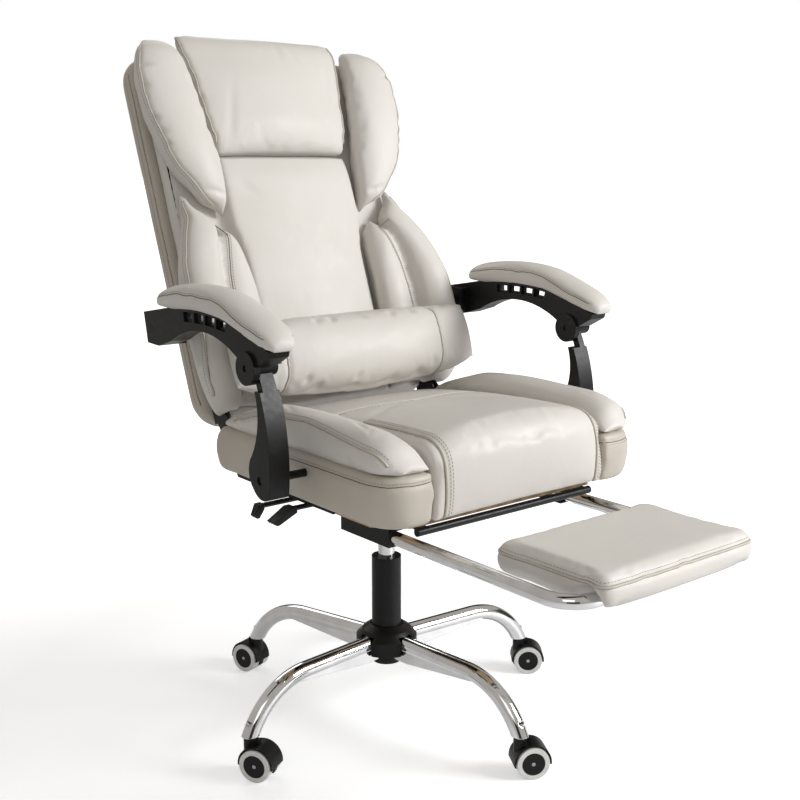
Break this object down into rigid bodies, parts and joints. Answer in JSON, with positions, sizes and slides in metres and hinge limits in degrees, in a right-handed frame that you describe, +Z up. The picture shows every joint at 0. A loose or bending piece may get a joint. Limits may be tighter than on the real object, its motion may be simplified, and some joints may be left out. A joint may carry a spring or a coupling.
{
  "type": "reclining office chair with footrest",
  "caption": "High-back swivel chair with a reclining winged backrest, linked armrests, a slide-out flip-over footrest, gas lift and a caster base.",
  "frame": {"origin": "on the lift column's axis at floor level", "axes": "+Z up, the sitter faces -Y, the sitter's right is -X"},
  "size_m": [0.711, 1.0774, 1.1647],
  "materials": {
    "cream_leather": "smooth, slightly glossy, with sewn seams",
    "black_plastic": "satin moulded",
    "white_tread": "matt",
    "bright_steel": "polished",
    "plain_steel": "plain",
    "black_metal": "satin powder coat",
    "plywood": "raw"
  },
  "bodies": {
    "base": {"base_hub": "black_plastic", "base_leg_1": "bright_steel", "base_leg_2": "bright_steel", "base_leg_3": "bright_steel", "base_leg_4": "bright_steel", "base_leg_5": "bright_steel", "column_tube": "black_metal", "guide_bushing": "black_plastic", "thrust_bearing": "plain_steel"},
    "caster_1": {"caster_hood_1": "black_plastic", "caster_pins_1": "plain_steel"},
    "caster_1_wheels": {"caster_wheels_1": "black_plastic", "caster_tyres_1": "white_tread"},
    "caster_2": {"caster_hood_2": "black_plastic", "caster_pins_2": "plain_steel"},
    "caster_2_wheels": {"caster_wheels_2": "black_plastic", "caster_tyres_2": "white_tread"},
    "caster_3": {"caster_hood_3": "black_plastic", "caster_pins_3": "plain_steel"},
    "caster_3_wheels": {"caster_wheels_3": "black_plastic", "caster_tyres_3": "white_tread"},
    "caster_4": {"caster_hood_4": "black_plastic", "caster_pins_4": "plain_steel"},
    "caster_4_wheels": {"caster_wheels_4": "black_plastic", "caster_tyres_4": "white_tread"},
    "caster_5": {"caster_hood_5": "black_plastic", "caster_pins_5": "plain_steel"},
    "caster_5_wheels": {"caster_wheels_5": "black_plastic", "caster_tyres_5": "white_tread"},
    "lift_rod": {"piston_rod": "plain_steel"},
    "seat": {"gas_cylinder": "bright_steel", "tilt_mechanism": "black_metal", "mounting_bolts": "plain_steel", "seat_board": "plywood", "seat_box": "cream_leather", "seat_cushion": "cream_leather", "seat_bolster_left": "cream_leather", "seat_bolster_right": "cream_leather", "footrest_carrier": "black_metal", "side_plates": "black_metal"},
    "height_lever": {"height_lever": "black_metal"},
    "recline_lever": {"recline_lever": "black_metal"},
    "footrest": {"footrest_frame": "bright_steel"},
    "footrest_flap": {"footrest_pad": "cream_leather", "footrest_hinges": "bright_steel"},
    "backrest": {"back_shell": "cream_leather", "back_frame": "black_metal", "back_panel": "cream_leather", "head_cushion": "cream_leather", "wing_left": "cream_leather", "wing_right": "cream_leather", "back_bolsters_left": "cream_leather", "back_bolsters_right": "cream_leather", "lumbar_pillow": "cream_leather"},
    "upright_left": {"arm_upright_left": "black_plastic"},
    "arm_left": {"arm_rail_left": "black_plastic", "arm_pad_left": "cream_leather"},
    "upright_right": {"arm_upright_right": "black_plastic"},
    "arm_right": {"arm_rail_right": "black_plastic", "arm_pad_right": "cream_leather"}
  },
  "joints": [
    {"name": "caster_1_swivel", "type": "hinge", "parent": "base", "child": "caster_1", "pos_m": [0.18839, 0.23347, 0.066], "axis": [0, 0, 1], "continuous": true},
    {"name": "caster_1_roll", "type": "hinge", "parent": "caster_1", "child": "caster_1_wheels", "pos_m": [0.19909, 0.24668, 0.026], "axis": [0.7771, -0.6293, 0], "continuous": true},
    {"name": "caster_2_swivel", "type": "hinge", "parent": "base", "child": "caster_2", "pos_m": [-0.08319, 0.28823, 0.066], "axis": [0, 0, 1], "continuous": true},
    {"name": "caster_2_roll", "type": "hinge", "parent": "caster_2", "child": "caster_2_wheels", "pos_m": [-0.08845, 0.3044, 0.026], "axis": [0.9511, 0.309, 0], "continuous": true},
    {"name": "caster_3_swivel", "type": "hinge", "parent": "base", "child": "caster_3", "pos_m": [-0.29801, -0.03448, 0.066], "axis": [0, 0, 1], "continuous": true},
    {"name": "caster_3_roll", "type": "hinge", "parent": "caster_3", "child": "caster_3_wheels", "pos_m": [-0.28977, -0.04935, 0.026], "axis": [-0.8746, -0.4848, 0], "continuous": true},
    {"name": "caster_4_swivel", "type": "hinge", "parent": "base", "child": "caster_4", "pos_m": [0.02927, -0.29857, 0.066], "axis": [0, 0, 1], "continuous": true},
    {"name": "caster_4_roll", "type": "hinge", "parent": "caster_4", "child": "caster_4_wheels", "pos_m": [0.04414, -0.30681, 0.026], "axis": [-0.4848, -0.8746, 0], "continuous": true},
    {"name": "caster_5_swivel", "type": "hinge", "parent": "base", "child": "caster_5", "pos_m": [0.2993, -0.0204, 0.066], "axis": [0, 0, 1], "continuous": true},
    {"name": "caster_5_roll", "type": "hinge", "parent": "caster_5", "child": "caster_5_wheels", "pos_m": [0.31252, -0.0311, 0.026], "axis": [-0.6293, -0.7771, 0], "continuous": true},
    {"name": "swivel", "type": "hinge", "parent": "base", "child": "lift_rod", "pos_m": [0, 0, 0.2], "axis": [0, 0, 1], "continuous": true},
    {"name": "seat_height", "type": "slide", "parent": "lift_rod", "child": "seat", "axis": [0, 0, 1], "range_m": [-0.08, 0.02]},
    {"name": "height_lever_turn", "type": "hinge", "parent": "seat", "child": "height_lever", "pos_m": [-0.1, -0.08, 0.4335], "axis": [1, 0, 0], "range_deg": [0, 14], "stiffness_Nm_per_rad": 0.4, "springref_deg": -5.73},
    {"name": "recline_lever_turn", "type": "hinge", "parent": "seat", "child": "recline_lever", "pos_m": [-0.1, -0.038, 0.4335], "axis": [1, 0, 0], "range_deg": [0, 14], "stiffness_Nm_per_rad": 0.4, "springref_deg": -5.73},
    {"name": "recline", "type": "hinge", "parent": "seat", "child": "backrest", "pos_m": [0, 0.147, 0.528], "axis": [-1, 0, 0], "range_deg": [0, 40]},
    {"name": "footrest_slide", "type": "slide", "parent": "seat", "child": "footrest", "axis": [0, 1, 0], "range_m": [0, 0.33]},
    {"name": "footrest_flip", "type": "hinge", "parent": "footrest", "child": "footrest_flap", "pos_m": [0, -0.585, 0.416], "axis": [1, 0, 0], "range_deg": [0, 180]},
    {"name": "upright_left_tilt", "type": "hinge", "parent": "seat", "child": "upright_left", "pos_m": [-0.3145, -0.134, 0.503], "axis": [-1, 0, 0], "range_deg": [0, 40]},
    {"name": "arm_left_level", "type": "hinge", "parent": "upright_left", "child": "arm_left", "pos_m": [-0.32, -0.118, 0.662], "axis": [-1, 0, 0], "range_deg": [-40, 0]},
    {"name": "upright_right_tilt", "type": "hinge", "parent": "seat", "child": "upright_right", "pos_m": [0.3145, -0.134, 0.503], "axis": [-1, 0, 0], "range_deg": [0, 40]},
    {"name": "arm_right_level", "type": "hinge", "parent": "upright_right", "child": "arm_right", "pos_m": [0.32, -0.118, 0.662], "axis": [-1, 0, 0], "range_deg": [-40, 0]}
  ],
  "couplings": [
    {"joint": "footrest_flip", "follows": "footrest_slide", "rad_per_m": 9.5199},
    {"joint": "upright_left_tilt", "follows": "recline", "ratio": 1},
    {"joint": "arm_left_level", "follows": "recline", "ratio": -1},
    {"joint": "upright_right_tilt", "follows": "recline", "ratio": 1},
    {"joint": "arm_right_level", "follows": "recline", "ratio": -1}
  ]
}
